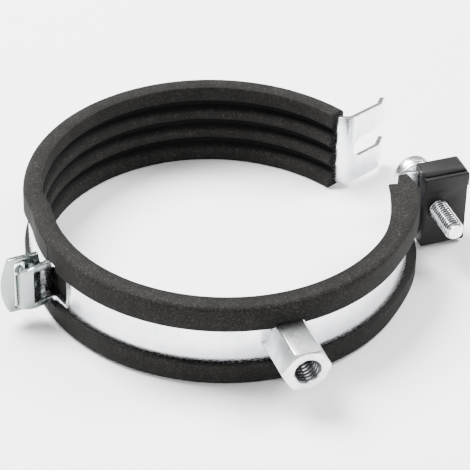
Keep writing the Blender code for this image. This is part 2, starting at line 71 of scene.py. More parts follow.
# Rubber lining
LIP_RADIUS = 55.99 * MM
LIP_EDGE_HIGH = 5.4 * MM
LIP_EDGE_LOW = 6.4 * MM
LIP_ROUND = 0.45 * MM
LIP_GAP = 0.06 * MM
LINING_HALF = 13.6 * MM
LINING_ROUND = 1.7 * MM
LINING_INNER_ROUND = 0.5 * MM
RIB_RADIUS = 50.3 * MM
GROOVE_RADIUS = 52.2 * MM
RIB_COUNT = 4
RIB_PITCH = 6.9 * MM
RIB_CREST = 0.8 * MM
RIB_FOOT = 3.1 * MM
LINING_STEP = 1.5
LINING_FAR_START = -188.0

# Hinge
BEND_RADIUS = 3.0 * MM
HOOK_RADIUS = 3.4 * MM
HOOK_HALF = 7.2 * MM
HOOK_TIP_LOW = -8.0 * MM
HOOK_TIP_HIGH = 3.6 * MM
HOOK_START = -74.0
HOOK_SWEEP = 175.0
FOLD_RADIUS = 2.0 * MM
FRAME_START = -162.6
FRAME_FULL = -164.4
FRAME_WINDOW_HALF = 5.2 * MM
FRAME_WINDOW_LOW = (-60.4 * MM, -15.2 * MM)
FRAME_WINDOW_HIGH = (-50.0 * MM, -5.5 * MM)
NECK_HALF = 5.1 * MM
NECK_START = 178.0
EYE_HALF = 9.3 * MM
EYE_START_X = -57.4 * MM
EYE_END_X = -67.2 * MM
EYE_END_BEND = 3.5 * MM
EYE_END_TURN = 35.0
EYE_END_BOW = 17.0 * MM
EYE_END_SHARE = 0.98
WINDOW_LOW = HOOK_TIP_LOW - GAP
WINDOW_HIGH = HOOK_HALF + GAP
WINDOW_IN_X = HINGE_X - 1.5 * MM
WINDOW_OUT_X = HINGE_X - HOOK_RADIUS - STRIP_THICK / 2 - 0.5 * MM
SEAM_RADIUS = 12.0 * MM
SEAM_GAP = 0.03 * MM
LOWER_SEAM_ARC = (5.0, 125.0)
UPPER_SEAM_ARC = (-40.0, 130.0)
SEAM_FLEX = (160.0, 173.0)
ZONE_RADIUS = 52.4 * MM
ZONE_START = -172.2
ZONE_END = -195.0
NOTCH_START = -167.6
LIP_TAB_START = 160.0
LIP_TAB_END = 187.4
# Painted shade on the steel towards the hinge: where it begins, how far it fades, and how far its
# edge is mottled
HINGE_SHADE_X = -53.5 * MM
HINGE_SHADE_FADE = 4 * MM
HINGE_SHADE_BLOTCH = 6 * MM

# Closure
FAR_EAR_ANGLE = 17.0
FAR_EAR_BEND = 3.5 * MM
FAR_EAR_END = 67.2 * MM
FAR_LINING_END = 20.5
LIP_BEND = 2.5 * MM
LIP_TURN = 32.0
LIP_LENGTH = 4.6 * MM
LIP_CORNER = 2.2 * MM
SLOT_HALF = 3.4 * MM
SLOT_END = 57.1 * MM
NEAR_EAR_Y = -5.75 * MM
NEAR_EAR_HALF = 11.2 * MM
NEAR_EAR_END_X = 72.3 * MM
NEAR_LINING_END = -9.5
NEAR_LINING_STEP = -14.3
STEP_RADIUS = 52.5 * MM
FLARE_START = -46.0
FLARE_FULL = -19.0
FLARE_IN = 1.5 * MM
FLARE_OUT = 1.8 * MM
FLARE_END = 0.3 * MM

# Closing screw, M6 by 30
SCREW_X = 64.8 * MM
SCREW_HOLE = 3.4 * MM
SHANK_RADIUS = 2.95 * MM
SHANK_LENGTH = 30.0 * MM
SHANK_CHAMFER = 0.7 * MM
SHANK_PLAIN = 1.0 * MM
SHANK_RUN_OUT = 0.1 * MM
SCREW_PITCH = 1.0 * MM
SCREW_DEPTH = 0.55 * MM
HEAD_Y = 6.4 * MM
HEAD_RADIUS = 5.9 * MM
HEAD_HEIGHT = 3.8 * MM
HEAD_ROUND = 1.3 * MM
HEAD_EDGE = 0.35 * MM
RECESS_DEPTH = 2.2 * MM
RECESS_ARMS = ((0.8 * MM, 3.2 * MM), (4.9 * MM, 0.65 * MM))
WASHER_RADIUS = 6.3 * MM
WASHER_THICK = 1.2 * MM
WASHER_HOLE = 3.25 * MM
WASHER_EDGE = 0.25 * MM

# Square nut
SQUARE_HALF = 5.0 * MM
SQUARE_THICK = 3.0 * MM
SQUARE_EDGE = 0.3 * MM
SQUARE_BORE = SHANK_RADIUS + 0.3 * MM
SQUARE_DEPTH = 0.25 * MM

# Moulded cap
CAP_LEFT_X = 59.7 * MM
CAP_RIGHT_X = 73.7 * MM
CAP_TOP = 13.6 * MM
CAP_BOTTOM = -12.6 * MM
CAP_FRONT_Y = -11.3 * MM
CAP_BACK_Y = -3.7 * MM
CAP_BAND_Y = -12.0 * MM
CAP_BAND_LOW = 7.4 * MM
CAP_BAND_HIGH = 11.95 * MM
CAP_BAND_NICK = 0.3 * MM
CAP_CREASE = 0.35 * MM
CAP_CREASE_Y = -10.5 * MM
CAP_WALL = 1.1 * MM
CAP_FRONT_ROUND = 2.6 * MM
CAP_BACK_ROUND = 1.8 * MM
CAP_END_ROUND = 2.8 * MM
CAP_RETURN = 2.4 * MM
CAP_HOLE = 3.15 * MM
CAP_EDGE = 0.18 * MM

# Connection nut, M8
NUT_FACE_Y = -70.0 * MM
NUT_HALF_FLATS = 6.5 * MM
NUT_FACE_RADIUS = 6.2 * MM
NUT_BORE = 3.35 * MM
NUT_BORE_END_Y = -56.5 * MM
NUT_MOUTH = 4.1 * MM
NUT_EDGE = 0.12 * MM
NUT_PITCH = 1.25 * MM
NUT_DEPTH = 0.62 * MM
WELD_RADIUS = 0.42 * MM
WELD_END = 0.8 * MM
WELD_SIDES = 10
WELD_STEPS = 40
WELD_RIPPLES = ((0.12, 1.9, 1), (0.07, 0.7, 0))  # height, frequency, shift
WELD_TIP = 0.02
THREAD_ROOM = 0.01
COUNTERSINK_RISE = 1.0 * MM

# Camera, on the pipe's axis height
VIEW_AZIMUTH = -20.7
VIEW_ELEVATION = 36.4
VIEW_ROLL = 1.47
VIEW_DISTANCE = 725.2 * MM
VIEW_LENS = 189.1
VIEW_TARGET = (2.46 * MM, -4.4 * MM)


# ---------------------------------------------------------------- plan geometry


def arc(center, radius, start, end, step):
    """Points of an arc in plan, both ends included; angles in degrees."""
    count = max(2, math.ceil(abs(end - start) / step))
    turn = [math.radians(start + (end - start) * i / count) for i in range(count + 1)]
    return [(center[0] + radius * math.cos(a), center[1] + radius * math.sin(a)) for a in turn]


def ahead(point, heading, distance):
    turn = math.radians(heading)
    return point[0] + distance * math.cos(turn), point[1] + distance * math.sin(turn)


def turn_out(through, heading, bend, side):
    """The bend by which the ring leaves for a plate that runs out through a point."""
    base = ahead(through, heading + 90.0 * side, bend)
    turn = math.radians(heading)
    along = base[0] * math.cos(turn) + base[1] * math.sin(turn)
    across = base[1] * math.cos(turn) - base[0] * math.sin(turn)
    reach = math.sqrt((STRIP_RADIUS + bend) ** 2 - across**2)
    center = ahead(base, heading, reach - along)
    ring_angle = math.degrees(math.atan2(center[1], center[0]))
    start = ring_angle + 180.0
    sweep_angle = (heading - 90.0 * side - start + 180.0) % 360.0 - 180.0
    return ring_angle, arc(center, bend, start, start + sweep_angle, BEND_STEP)


# ---------------------------------------------------------------- mesh tools


def link(name, builder):
    bmesh.ops.recalc_face_normals(builder, faces=builder.faces)
    mesh = bpy.data.meshes.new(name)
    builder.to_mesh(mesh)
    builder.free()
    obj = bpy.data.objects.new(name, mesh)
    bpy.context.scene.collection.objects.link(obj)
    return obj


def settle(obj, sharp=32.0):
    """Turns the modifiers' result into the object's own mesh, with clean normals."""
    bpy.context.view_layer.update()
    graph = bpy.context.evaluated_depsgraph_get()
    mesh = bpy.data.meshes.new_from_object(obj.evaluated_get(graph))
    obj.modifiers.clear()
    builder = bmesh.new()
    builder.from_mesh(mesh)
    bmesh.ops.remove_doubles(builder, verts=builder.verts, dist=0.00002)
    bmesh.ops.dissolve_degenerate(builder, edges=builder.edges, dist=0.00001)
    bmesh.ops.recalc_face_normals(builder, faces=builder.faces)
    builder.to_mesh(mesh)
    builder.free()
    obj.data = mesh
    mesh.shade_smooth()
    mesh.set_sharp_from_angle(angle=math.radians(sharp))


def cut(obj, cutters, operation="DIFFERENCE"):
    """Booleans with each cutter in turn; the cutters are removed afterwards."""
    for cutter in cutters:
        modifier = obj.modifiers.new("cut", "BOOLEAN")
        modifier.operation = operation
        modifier.solver = "EXACT"
        modifier.object = cutter
    settle(obj)
    for cutter in cutters:
        bpy.data.objects.remove(cutter, do_unlink=True)


def soften(obj, width, segments=2, limit=40.0):
    bevel = obj.modifiers.new("edges", "BEVEL")
    bevel.width = width
    bevel.segments = segments
    bevel.limit_method = "ANGLE"
    bevel.angle_limit = math.radians(limit)
    bevel.use_clamp_overlap = False
    settle(obj, 40.0)


def level(points, half):
    """Stations of a strip that keeps its width through points in plan."""
    return [(x, y, -half, half) for x, y in points]


def strip(name, stations):
    """A strip on edge: stations are (x, y, low edge, high edge) along its middle surface."""
    builder = bmesh.new()
    rows = []
    for x, y, low, high in stations:
        rows.append((builder.verts.new((x, y, low)), builder.verts.new((x, y, high))))
    for (low_a, high_a), (low_b, high_b) in zip(rows, rows[1:]):
        builder.faces.new((low_a, low_b, high_b, high_a))
    obj = link(name, builder)
    solidify = obj.modifiers.new("thickness", "SOLIDIFY")
    solidify.thickness = STRIP_THICK
    solidify.offset = 0.0
    solidify.use_even_offset = True
    return obj


def sweep(name, outline, start, end, step, center=(0, 0), shape=None):
    """Turns a closed (radius, height) outline about a vertical axis, from start to end degrees.

    shape, if given, makes each radius another one, from the outline's point and the angle.
    """
    count = max(2, math.ceil(abs(end - start) / step))
    builder = bmesh.new()
    rings = []
    for i in range(count + 1):
        angle = start + (end - start) * i / count
        ring = []
        for radius, z in outline:
            reach = shape(radius, z, angle) if shape else radius
            ring.append(builder.verts.new((*ahead(center, angle, reach), z)))
        rings.append(ring)
    size = len(outline)
    for ring_a, ring_b in zip(rings, rings[1:]):
        for i in range(size):
            j = (i + 1) % size
            builder.faces.new((ring_a[i], ring_a[j], ring_b[j], ring_b[i]))
    builder.faces.new(rings[0])
    builder.faces.new(rings[-1])
    return link(name, builder)


def extrude(name, points, move):
    """Extrudes a closed loop of points by the vector move."""
    builder = bmesh.new()
    face = builder.faces.new([builder.verts.new(p) for p in points])
    grown = bmesh.ops.extrude_face_region(builder, geom=[face])
    moved = [item for item in grown["geom"] if isinstance(item, bmesh.types.BMVert)]
    bmesh.ops.translate(builder, vec=move, verts=moved)
    return link(name, builder)


def prism(name, outline, low_y, high_y):
    return extrude(name, [(x, low_y, z) for x, z in outline], (0.0, high_y - low_y, 0.0))


def box(name, low, high):
    builder = bmesh.new()
    bmesh.ops.create_cube(builder, size=1.0)
    low, high = Vector(low), Vector(high)
    bmesh.ops.scale(builder, vec=high - low, verts=builder.verts)
    bmesh.ops.translate(builder, vec=(low + high) / 2, verts=builder.verts)
    return link(name, builder)


def thread_depth(share):
    """How deep a thread is at a share of its pitch, from 0 on the crest to 1 at the root."""
    rise = abs(2.0 * (share % 1.0) - 1.0)
    return min(1.0, max(0.0, (0.86 - rise) / 0.66))


def lathe(name, rings, place, pitch=1.0, sides=48, upright=False):
    """Revolves rings of (radius, height, thread depth); height runs along +Y, or +Z if upright."""
    builder = bmesh.new()
    loops = []
    for radius, height, depth in rings:
        loop = []
        for i in range(sides):
            a = math.tau * i / sides
            r = radius - depth * thread_depth(height / pitch - i / sides)
            loop.append(builder.verts.new((r * math.cos(a), r * math.sin(a), height)))
        loops.append(loop)
    for loop_a, loop_b in zip(loops, loops[1:]):
        for i in range(sides):
            j = (i + 1) % sides
            builder.faces.new((loop_a[i], loop_a[j], loop_b[j], loop_b[i]))
    builder.faces.new(loops[0])
    builder.faces.new(loops[-1])
    if not upright:
        bmesh.ops.rotate(
            builder, cent=(0, 0, 0), matrix=Matrix.Rotation(-math.pi / 2, 3, "X"), verts=builder.verts
        )
    bmesh.ops.translate(builder, vec=place, verts=builder.verts)
    return link(name, builder)


def threaded(radius, start, end, pitch, depth, run=1.5):
    """Rings of a threaded stretch whose thread fades in over run pitches at its start."""
    count = math.ceil(abs(end - start) / pitch * 8)
    rings = []
    for i in range(count + 1):
        height = start + (end - start) * i / count
        fade = min(1.0, abs(height - start) / (run * pitch))
        rings.append((radius, height, depth * fade))
    return rings


def round_cutter(radius, middle_y, reach):
    rings = [(radius, reach, 0.0), (radius, -reach, 0.0)]
    return lathe("cutter", rings, (SCREW_X, middle_y, 0.0))


def hexagon(half_flats):
    corner = half_flats / math.cos(math.radians(30))
    turn = [math.radians(60 * i) for i in range(6)]
    return [(corner * math.cos(a), corner * math.sin(a)) for a in turn]


# ---------------------------------------------------------------- steel bands


def make_front_band():
    pivot = (HINGE_X, HINGE_Y)
    hook = arc(pivot, HOOK_RADIUS, HOOK_START, HOOK_START - HOOK_SWEEP, BEND_STEP)
    close_angle, close_bend = turn_out((0, NEAR_EAR_Y), 0.0, BEND_RADIUS, -1)
    fold_angle, fold = turn_out(hook[0], HOOK_START - 90.0, FOLD_RADIUS, 1)
    ear = [(NEAR_EAR_END_X, NEAR_EAR_Y), (CAP_LEFT_X, NEAR_EAR_Y)]
    stations = level(ear, NEAR_EAR_HALF)
    stations += level(reversed(close_bend), STRIP_HALF)
    ring = arc((0, 0), STRIP_RADIUS, close_angle, FRAME_START, RING_STEP)
    stations += level(ring[1:], STRIP_HALF)
    arms = arc((0, 0), STRIP_RADIUS, FRAME_FULL, fold_angle, RING_STEP)
    stations += level(arms[:-1] + fold, HOOK_HALF)
    for step, (x, y) in enumerate(hook):
        share = min(1.0, 2.0 * step / (len(hook) - 1)) ** 2
        low = -HOOK_HALF + (HOOK_TIP_LOW + HOOK_HALF) * share
        high = HOOK_HALF + (HOOK_TIP_HIGH - HOOK_HALF) * share
        stations.append((x, y, low, high))
    band = strip("front_band", stations)
    window = box(
        "cutter",
        (*FRAME_WINDOW_LOW, -FRAME_WINDOW_HALF),
        (*FRAME_WINDOW_HIGH, FRAME_WINDOW_HALF),
    )
    cut(band, [window, round_cutter(SCREW_HOLE, NEAR_EAR_Y, 2 * STRIP_THICK)])
    soften(band, STRIP_EDGE)
    return band


def make_rear_band():
    ear_end = ahead((0, 0), FAR_EAR_ANGLE, FAR_EAR_END)
    lip_center = ahead(ear_end, FAR_EAR_ANGLE + 90.0, LIP_BEND)
    lip_start = FAR_EAR_ANGLE - 90.0
    lip = arc(lip_center, LIP_BEND, lip_start, lip_start + LIP_TURN, 5.5)
    lip_end = FAR_EAR_ANGLE + LIP_TURN
    stations = []
    for share in (1.0, 0.9, 0.72, 0.5, 0.25, 0.0):
        point = ahead(lip[-1], lip_end, LIP_LENGTH - LIP_CORNER * (1 - share))
        stations += level([point], STRIP_HALF - LIP_CORNER * (1 - math.sqrt(1 - share**2)))
    stations += level(reversed(lip), STRIP_HALF)
    close_angle, close_bend = turn_out((0, 0), FAR_EAR_ANGLE, FAR_EAR_BEND, 1)
    stations += level(reversed(close_bend), STRIP_HALF)
    ring = arc((0, 0), STRIP_RADIUS, close_angle, NECK_START - 2.0, RING_STEP)
    stations += level(ring[1:], STRIP_HALF)
    hinge_angle, hinge_bend = turn_out((0, HINGE_Y), 180.0, BEND_RADIUS, -1)
    neck = arc((0, 0), STRIP_RADIUS, NECK_START, 360.0 + hinge_angle, RING_STEP)
    stations += level([*neck[:-1], *hinge_bend, (EYE_START_X, HINGE_Y)], NECK_HALF)
    stations += level([(EYE_START_X - STRIP_THICK / 2, HINGE_Y)], EYE_HALF)
    end_center = (EYE_END_X, HINGE_Y + EYE_END_BEND)
    end = arc(end_center, EYE_END_BEND, -90.0, -90.0 - EYE_END_TURN, 3.75)
    bow = EYE_END_BOW - math.sqrt(EYE_END_BOW**2 - EYE_HALF**2)
    for step, point in enumerate(end):
        left = EYE_END_SHARE * step / (len(end) - 1)
        half = math.sqrt(EYE_END_BOW**2 - (EYE_END_BOW - bow * (1 - left)) ** 2)
        stations += level([point], half)
    band = strip("rear_band", stations)
    inner = arc((SLOT_END + SLOT_HALF, 0.0), SLOT_HALF, 90.0, 270.0, 9.0)
    outer = FAR_EAR_END + 2 * LIP_LENGTH
    reach = 4 * STRIP_THICK
    slot = prism("cutter", [*inner, (outer, -SLOT_HALF), (outer, SLOT_HALF)], -reach, reach)
    slot.data.transform(Matrix.Rotation(math.radians(FAR_EAR_ANGLE), 4, "Z"))
    window = box(
        "cutter",
        (WINDOW_OUT_X, HINGE_Y - STRIP_THICK, WINDOW_LOW),
        (WINDOW_IN_X, HINGE_Y + STRIP_THICK, WINDOW_HIGH),
    )
    cut(band, [slot, window])
    soften(band, STRIP_EDGE)
    return band


# ---------------------------------------------------------------- rubber linings


def ease(value):
    share = min(1.0, max(0.0, value))
    return share * share * (3 - 2 * share)


def rib_points():
    """The inner face, from bottom to top: rounded ribs between narrow grooves."""
    points = []
    reach = LINING_HALF - LINING_INNER_ROUND
    count = 120
    grooves = [(k - (RIB_COUNT - 2) / 2) * RIB_PITCH for k in range(RIB_COUNT - 1)]
    for i in range(count + 1):
        z = reach * (2 * i / count - 1)
        off_rib = RIB_PITCH / 2 - min(abs(z - groove) for groove in grooves)
        share = (off_rib - RIB_CREST) / (RIB_FOOT - RIB_CREST)
        points.append((RIB_RADIUS + (GROOVE_RADIUS - RIB_RADIUS) * ease(share) ** 1.3, z))
    return points


def lining_outline():
    """The lining's section: a channel that wraps both edges of the strip, ribbed inside."""
    base_out = STRIP_IN - GAP
    lip_in = STRIP_OUT + LIP_GAP
    wall_in = STRIP_HALF + GAP
    corner = (LIP_RADIUS - LINING_ROUND, LINING_HALF - LINING_ROUND)
    inner = (RIB_RADIUS + LINING_INNER_ROUND, LINING_HALF - LINING_INNER_ROUND)
    sides = []
    for edge in (LIP_EDGE_HIGH, LIP_EDGE_LOW):
        side = [(base_out, wall_in), (lip_in, wall_in), (lip_in, edge)]
        side += arc((LIP_RADIUS - LIP_ROUND, edge + LIP_ROUND), LIP_ROUND, -90.0, 0.0, 22.5)
        side += arc(corner, LINING_ROUND, 0.0, 90.0, 15.0)
        sides.append(side + arc(inner, LINING_INNER_ROUND, 90.0, 157.5, 22.5))
    bottom = [(r, -z) for r, z in reversed(sides[1])]
    return [*sides[0], *reversed(rib_points()), *bottom]


def flare(radius, z, angle):
    """Spreads the lining towards its end at the near ear: its top rim inward, its lips outward."""
    spread = ease((angle - FLARE_START) / (FLARE_FULL - FLARE_START))
    if radius <= GROOVE_RADIUS + MM / 10:
        return radius - FLARE_IN * spread * ease(z / LINING_HALF * 2 - 1)
    if radius < STRIP_OUT + LIP_GAP + MM / 10:
        return radius
    last = ease((angle - NEAR_LINING_STEP) / (NEAR_LINING_END - NEAR_LINING_STEP))
    return radius + FLARE_OUT * spread + (FLARE_END - FLARE_OUT) * last


def slab(low_radius, high_radius, low, high):
    return [(low_radius, low), (high_radius, low), (high_radius, high), (low_radius, high)]


def make_front_lining():
    lining = sweep(
        "front_lining",
        lining_outline(),
        NEAR_LINING_END,
        LINING_FAR_START,
        LINING_STEP,
        shape=flare,
    )
    tall = LINING_HALF + PAST
    outside = LIP_RADIUS + PAST
    channel = STRIP_HALF + GAP
    notch = HOOK_HALF + GAP
    zone = slab(ZONE_RADIUS, outside, -channel, channel)
    lips = slab(STRIP_OUT, outside, -notch, notch)
    seam = slab(SEAM_RADIUS, 2 * SEAM_RADIUS, -tall, tall)
    end = slab(RIB_RADIUS - 2 * PAST, STEP_RADIUS, -tall, tall)
    cutters = [
        sweep("cutter", zone, ZONE_START, ZONE_END, 3.0),
        sweep("cutter", lips, NOTCH_START, ZONE_START - 1.0, 3.0),
        sweep("cutter", seam, *LOWER_SEAM_ARC, 3.0, (HINGE_X, HINGE_Y)),
        sweep("cutter", end, NEAR_LINING_STEP, 0.0, 3.0),
        prism("cutter", hexagon(NUT_HALF_FLATS + GAP), NUT_FACE_Y, -STRIP_OUT),
    ]
    cut(lining, cutters)
    shade_grooves(lining)
    return lining


def make_rear_lining():
    """Its seam is round the hinge; only the lips run on past it, over the neck of the band."""
    lining = sweep("rear_lining", lining_outline(), FAR_LINING_END, LIP_TAB_END, LINING_STEP)
    tall = LINING_HALF + PAST
    sector = slab(0.001 * MM, SEAM_RADIUS + SEAM_GAP, -tall, tall)
    seam = sweep("cutter", sector, *UPPER_SEAM_ARC, 3.0, (HINGE_X, HINGE_Y))
    kept = []
    for low, high in ((-STRIP_HALF, GAP - LIP_EDGE_LOW), (LIP_EDGE_HIGH - GAP, STRIP_HALF)):
        ring = slab(STRIP_OUT, LIP_RADIUS + PAST, low, high)
        kept.append(sweep("kept", ring, LIP_TAB_START, -ZONE_END, 2.5))
    cut(seam, kept)
    cut(lining, [seam])
    shade_grooves(lining)
    flex_seam(lining)
    return lining


def shade_grooves(lining):
    """Stores how far each point lies from the ribs' crests, so that the grooves can take painted
    shade.
    """
    depth = lining.data.attributes.new("groove", "FLOAT", "POINT")
    for vertex in lining.data.vertices:
        radius = math.hypot(vertex.co.x, vertex.co.y)
        inside = radius <= GROOVE_RADIUS + MM / 10
        share = (radius - RIB_RADIUS) / (GROOVE_RADIUS - RIB_RADIUS) if inside else 0.0
        depth.data[vertex.index].value = min(1.0, max(0.0, share))


def flex_seam(lining):
    """Bends the opened half's rubber back into line with the other half's at their seam."""
    pivot = Vector((HINGE_X, HINGE_Y, 0.0))
    first, last = SEAM_FLEX
    for vertex in lining.data.vertices:
        angle = math.degrees(math.atan2(vertex.co.y, vertex.co.x)) % 360.0
        if angle > 270.0:
            continue
        turn = -OPEN_ANGLE * ease((angle - first) / (last - first))
        spot = vertex.co - pivot
        vertex.co = pivot + Matrix.Rotation(math.radians(turn), 3, "Z") @ spot


# ---------------------------------------------------------------- nuts, screw and cap


def make_rod_nut():
    nut = prism("rod_nut", hexagon(NUT_HALF_FLATS), NUT_FACE_Y, -STRIP_RADIUS)
    corner = NUT_HALF_FLATS / math.cos(math.radians(30)) + PAST
    slope = (corner - NUT_FACE_RADIUS) * math.tan(math.radians(30))
    length = 2 * (-NUT_FACE_Y - STRIP_RADIUS)
    chamfer = lathe(
        "cutter",
        [(corner, length, 0.0), (corner, slope, 0.0), (NUT_FACE_RADIUS, 0.0, 0.0)],
        (0.0, NUT_FACE_Y, 0.0),
        sides=96,
    )
    cut(nut, [chamfer], "INTERSECT")
    seat_rings = [(STRIP_OUT + GAP, tall, 0.0) for tall in (LINING_HALF, -LINING_HALF)]
    seat = lathe("cutter", seat_rings, (0.0, 0.0, 0.0), sides=240, upright=True)
    depth = NUT_BORE_END_Y - NUT_FACE_Y
    major = NUT_BORE + NUT_DEPTH
    rings = threaded(major, depth, 0.0, NUT_PITCH, NUT_DEPTH, THREAD_ROOM)
    mouth = (NUT_MOUTH + SLIVER, -SLIVER, 0.0)
    thread = lathe("cutter", [*rings[1:], mouth], (0.0, NUT_FACE_Y, 0.0), NUT_PITCH, 48)
    countersink = lathe(
        "cutter",
        [
            (NUT_BORE, NUT_MOUTH - NUT_BORE, 0.0),
            (NUT_MOUTH, 0.0, 0.0),
            (NUT_MOUTH, -COUNTERSINK_RISE, 0.0),
        ],
        (0.0, NUT_FACE_Y, 0.0),
    )
    cut(nut, [seat])
    soften(nut, NUT_EDGE, 2, 25.0)
    cut(nut, [thread, countersink])
    return nut


def make_rod_nut_weld():
    """Two short runs of weld, at the nut's left and right corners, where it meets the band."""
    builder = bmesh.new()
    corner = NUT_HALF_FLATS / math.cos(math.radians(30))
    for side in (-1, 1):
        loops = []
        for i in range(WELD_STEPS + 1):
            along = 2 * i / WELD_STEPS - 1
            z = along * (LIP_EDGE_HIGH - WELD_END)
            x = side * (corner - abs(z) * math.tan(math.radians(30)))
            y = -math.sqrt(STRIP_OUT**2 - x**2)
            ripple = 1.0
            for height, frequency, shift in WELD_RIPPLES:
                ripple += height * math.sin(frequency * i + side * shift)
            radius = WELD_RADIUS * ripple * math.sqrt(max(WELD_TIP, 1 - along**6))
            loop = []
            for k in range(WELD_SIDES):
                a = math.tau * k / WELD_SIDES
                point = (x + radius * math.cos(a), y + radius * math.sin(a), z)
                loop.append(builder.verts.new(point))
            loops.append(loop)
        for loop_a, loop_b in zip(loops, loops[1:]):
            for k in range(WELD_SIDES):
                j = (k + 1) % WELD_SIDES
                builder.faces.new((loop_a[k], loop_a[j], loop_b[j], loop_b[k]))
        builder.faces.new(loops[0])
        builder.faces.new(loops[-1])
    weld = link("rod_nut_weld", builder)
    settle(weld, 60.0)
    return weld


def make_clamp_screw():
    head = []
    for step in range(7):
        a = math.radians(15.0 * step)
        radius = HEAD_RADIUS - HEAD_ROUND * (1 - math.sin(a))
        head.append((radius, HEAD_HEIGHT - HEAD_ROUND * (1 - math.cos(a)), 0.0))
    edge = [
        (HEAD_RADIUS, HEAD_EDGE, 0.0),
        (HEAD_RADIUS - CURVE_SHARE * HEAD_EDGE, CURVE_SHARE * HEAD_EDGE, 0.0),
        (HEAD_RADIUS - HEAD_EDGE, 0.0, 0.0),
    ]
    neck = [(SHANK_RADIUS, 0.0, 0.0), (SHANK_RADIUS, -SHANK_PLAIN, 0.0)]
    low = -SHANK_LENGTH + SHANK_CHAMFER
    top_thread = -SHANK_PLAIN - SHANK_RUN_OUT
    shank = threaded(SHANK_RADIUS, top_thread, low, SCREW_PITCH, SCREW_DEPTH)
    tip = []
    for step in range(1, 5):
        share = step / 4
        depth = SCREW_DEPTH * (1 - share)
        tip.append((SHANK_RADIUS - SHANK_CHAMFER * share, low - SHANK_CHAMFER * share, depth))
    rings = [*head, *edge, *neck, *shank, *tip]
    screw = lathe("clamp_screw", rings, (SCREW_X, HEAD_Y, 0.0), SCREW_PITCH, 56)
    top = HEAD_Y + HEAD_HEIGHT
    arms = []
    for wide, high in RECESS_ARMS:
        low_corner = (SCREW_X - wide, top - RECESS_DEPTH, -high)
        arms.append(box("cutter", low_corner, (SCREW_X + wide, top + RECESS_DEPTH, high)))
    cut(screw, arms)
    return screw


def make_clamp_washer():
    back = HEAD_Y - GAP
    rings = [
        (WASHER_HOLE, 0.0),
        (WASHER_RADIUS - WASHER_EDGE, 0.0),
        (WASHER_RADIUS - CURVE_SHARE * WASHER_EDGE, -CURVE_SHARE * WASHER_EDGE),
        (WASHER_RADIUS, -WASHER_EDGE),
        (WASHER_RADIUS, -WASHER_THICK + WASHER_EDGE),
        (WASHER_RADIUS - CURVE_SHARE * WASHER_EDGE, CURVE_SHARE * WASHER_EDGE - WASHER_THICK),
        (WASHER_RADIUS - WASHER_EDGE, -WASHER_THICK),
        (WASHER_HOLE, -WASHER_THICK),
    ]
    rings = [(radius, height, 0.0) for radius, height in rings]
    washer = lathe("clamp_washer", rings, (SCREW_X, back, 0.0), sides=64)
    cut(washer, [round_cutter(WASHER_HOLE + 0.01 * MM, back, 3 * WASHER_THICK)])
    return washer


def make_square_nut():
    back = NEAR_EAR_Y - STRIP_THICK / 2 - GAP
    low, high = SCREW_X - SQUARE_HALF, SCREW_X + SQUARE_HALF
    nut = box("square_nut", (low, back - SQUARE_THICK, -SQUARE_HALF), (high, back, SQUARE_HALF))
    soften(nut, SQUARE_EDGE, 3)
    reach = 2 * SQUARE_THICK
    rings = threaded(SQUARE_BORE, reach, -reach, SCREW_PITCH, SQUARE_DEPTH, THREAD_ROOM)
    cut(nut, [lathe("cutter", rings[1:], (SCREW_X, back, 0.0), SCREW_PITCH)])
    return nut


def make_cap_shell():
    front = CAP_FRONT_Y + CAP_FRONT_ROUND
    high = CAP_TOP - CAP_FRONT_ROUND
    ledge = math.degrees(math.asin((CAP_BAND_HIGH + CAP_CREASE - high) / CAP_FRONT_ROUND))
    back_center = (CAP_BACK_Y - CAP_BACK_ROUND, CAP_TOP - CAP_BACK_ROUND)
    profile = [
        (CAP_BACK_Y, CAP_BOTTOM),
        *arc(back_center, CAP_BACK_ROUND, 0.0, 90.0, 11.25),
        *arc((front, high), CAP_FRONT_ROUND, 90.0, 180.0 - ledge, 8.0),
        (CAP_CREASE_Y, CAP_BAND_HIGH + CAP_CREASE),
        (CAP_CREASE_Y, CAP_BAND_HIGH),
        (CAP_BAND_Y + CAP_BAND_NICK, CAP_BAND_HIGH),
        (CAP_BAND_Y, CAP_BAND_HIGH - CAP_BAND_NICK),
        (CAP_BAND_Y, CAP_BAND_LOW),
        (CAP_FRONT_Y, CAP_BAND_LOW - CAP_BAND_NICK),
        (CAP_FRONT_Y, CAP_BOTTOM),
    ]
    points = [(CAP_LEFT_X, y, z) for y, z in profile]
    cap = extrude("cap_shell", points, (CAP_RIGHT_X - CAP_LEFT_X, 0.0, 0.0))
    corner = (CAP_RIGHT_X - CAP_END_ROUND, CAP_TOP - CAP_END_ROUND)
    outline = [
        (corner[0], CAP_TOP + PAST),
        *reversed(arc(corner, CAP_END_ROUND, 0.0, 90.0, 9.0)),
        (CAP_RIGHT_X + PAST, corner[1]),
        (CAP_RIGHT_X + PAST, CAP_TOP + PAST),
    ]
    inside = NEAR_EAR_HALF + GAP
    ear_front = NEAR_EAR_Y - STRIP_THICK / 2 - GAP
    ear_slot = box(
        "cutter",
        (CAP_LEFT_X - PAST, ear_front, -inside),
        (NEAR_EAR_END_X + GAP, CAP_BACK_Y - CAP_WALL, inside),
    )
    pocket = box(
        "cutter",
        (CAP_LEFT_X + CAP_WALL, CAP_FRONT_Y + CAP_WALL, -inside),
        (NEAR_EAR_END_X + GAP, ear_front + GAP, inside),
    )
    window = box(
        "cutter",
        (CAP_LEFT_X - PAST, CAP_BACK_Y - 2 * CAP_WALL, -inside + CAP_RETURN),
        (NEAR_EAR_END_X - CAP_RETURN, CAP_BACK_Y + PAST, inside - CAP_RETURN),
    )
    rounding = prism("cutter", outline, 2 * CAP_FRONT_Y, 0.0)
    hole = round_cutter(CAP_HOLE, CAP_FRONT_Y, 2 * CAP_WALL)
    cut(cap, [rounding, ear_slot, pocket, window, hole])
    soften(cap, CAP_EDGE, 2, 35.0)
    return cap


# ---------------------------------------------------------------- materials


